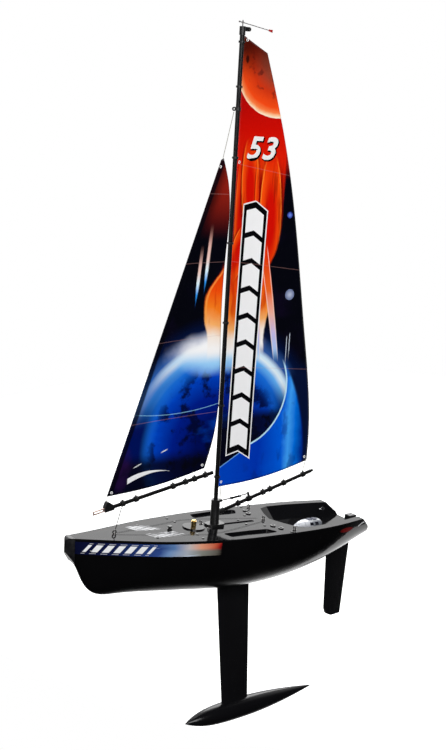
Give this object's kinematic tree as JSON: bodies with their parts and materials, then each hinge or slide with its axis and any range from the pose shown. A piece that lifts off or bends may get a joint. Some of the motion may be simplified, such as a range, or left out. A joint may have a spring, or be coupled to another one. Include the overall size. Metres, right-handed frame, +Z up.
{
  "type": "rc boat",
  "caption": "Radio controlled racing yacht with a glossy hull, deep fin keel and bulb, spade rudder, swinging booms and printed film sails.",
  "frame": {"origin": "underside of the hull on the centreline, below the middle of the fin keel's root", "axes": "+X to the bow, +Y to port, +Z up along the mast"},
  "size_m": [0.4695, 0.1184, 0.9237],
  "materials": {
    "hull_gloss": "high gloss",
    "deck_gloss": "high gloss",
    "bumper_rubber": "satin",
    "foil_black": "satin",
    "inner_plastic": "matte",
    "fitting_black": "satin",
    "servo_case": "satin",
    "ballast_iron": "rough",
    "cell_jacket": "printed film jacket",
    "bright_steel": "polished",
    "spar_black": "black anodised",
    "joiner_alloy": "satin",
    "brass": "turned",
    "hatch_silver": "gloss",
    "smoked_window": "gloss",
    "vane_red": "gloss",
    "main_film": "printed gloss film",
    "jib_film": "printed gloss film",
    "rig_line": "braided"
  },
  "bodies": {
    "hull": {"hull_shell": "hull_gloss", "deck_moulding": "deck_gloss", "bow_bumper": "bumper_rubber", "keel_trunk": "inner_plastic", "keel_fin": "foil_black", "fin_lock_plate": "fitting_black", "bulb_port_half": "foil_black", "bulb_starboard_half": "foil_black", "bulb_ballast": "ballast_iron", "bulb_screws": "bright_steel", "rudder_tube": "inner_plastic", "servo_tray": "inner_plastic", "rudder_servo": "servo_case", "sail_servo": "servo_case", "receiver": "servo_case", "battery_box": "inner_plastic", "battery_cells": "cell_jacket", "round_hatch": "fitting_black", "thumb_screw": "brass", "mast_step": "fitting_black", "mast_tube": "inner_plastic", "mast_lower": "spar_black", "mast_upper": "spar_black", "mast_joiner": "joiner_alloy", "masthead_cap": "fitting_black", "forestay_hook": "fitting_black", "deck_eyes": "bright_steel", "sheet_grommets": "fitting_black", "deck_screws": "bright_steel", "power_switch": "fitting_black", "tow_block": "fitting_black", "stern_hook": "bright_steel"},
    "rudder": {"rudder_blade": "foil_black", "rudder_post": "bright_steel", "tiller_arm": "fitting_black"},
    "rudder_servo_horn": {"rudder_horn": "fitting_black"},
    "rudder_link": {"rudder_pushrod": "bright_steel"},
    "sail_winch_arm": {"sail_servo_arm": "fitting_black"},
    "power_key": {"power_button": "fitting_black"},
    "hatch_lid": {"cockpit_hatch": "hatch_silver", "hatch_windows": "smoked_window"},
    "vane": {"wind_vane": "bright_steel", "vane_feather": "vane_red"},
    "main_rig": {"gooseneck": "fitting_black", "main_boom": "spar_black", "main_boom_clips": "fitting_black", "vang_post": "fitting_black", "vang_rod": "bright_steel", "vang_barrel": "bright_steel", "main_boom_end": "fitting_black", "main_sail": "main_film", "luff_rings": "fitting_black", "main_sail_ties": "rig_line"},
    "jib_rig": {"jib_boom": "spar_black", "jib_boom_clips": "fitting_black", "jib_nose_clip": "fitting_black", "jib_counterweight": "brass", "jib_sail": "jib_film", "jib_lines": "rig_line", "jib_swivel_line": "rig_line"}
  },
  "joints": [
    {"name": "main_swing", "type": "hinge", "parent": "hull", "child": "main_rig", "pos_m": [0.036, 0, 0.1], "axis": [0, 0, 1], "range_deg": [-70, 70]},
    {"name": "jib_swing", "type": "hinge", "parent": "hull", "child": "jib_rig", "pos_m": [0.188, 0, 0.1005], "axis": [-0.2739, 0, 0.9618], "range_deg": [-60, 60]},
    {"name": "rudder_turn", "type": "hinge", "parent": "hull", "child": "rudder", "pos_m": [-0.176, 0, 0], "axis": [0, 0, 1], "range_deg": [-35, 35]},
    {"name": "rudder_horn_turn", "type": "hinge", "parent": "hull", "child": "rudder_servo_horn", "pos_m": [-0.112, 0, 0.045], "axis": [0, 0, 1], "range_deg": [-36, 36]},
    {"name": "pushrod_pivot", "type": "hinge", "parent": "rudder_servo_horn", "child": "rudder_link", "pos_m": [-0.112, 0.012, 0.047], "axis": [0, 0, 1], "range_deg": [-36, 36]},
    {"name": "sail_arm_turn", "type": "hinge", "parent": "hull", "child": "sail_winch_arm", "pos_m": [-0.046, -0.024, 0.045], "axis": [0, 0, 1], "range_deg": [-50, 50]},
    {"name": "power_press", "type": "slide", "parent": "hull", "child": "power_key", "axis": [0, 0, -1], "range_m": [0, 0.0015], "stiffness_N_per_m": 150, "springref_m": -0.0005},
    {"name": "hatch_lift", "type": "slide", "parent": "hull", "child": "hatch_lid", "axis": [-0.0515, 0, 0.9987], "range_m": [0, 0.04]},
    {"name": "vane_spin", "type": "hinge", "parent": "hull", "child": "vane", "pos_m": [0.036, 0, 0.7154], "axis": [0, 0, 1], "continuous": true}
  ],
  "couplings": [
    {"joint": "rudder_horn_turn", "follows": "rudder_turn", "ratio": 1},
    {"joint": "pushrod_pivot", "follows": "rudder_turn", "ratio": -1}
  ]
}
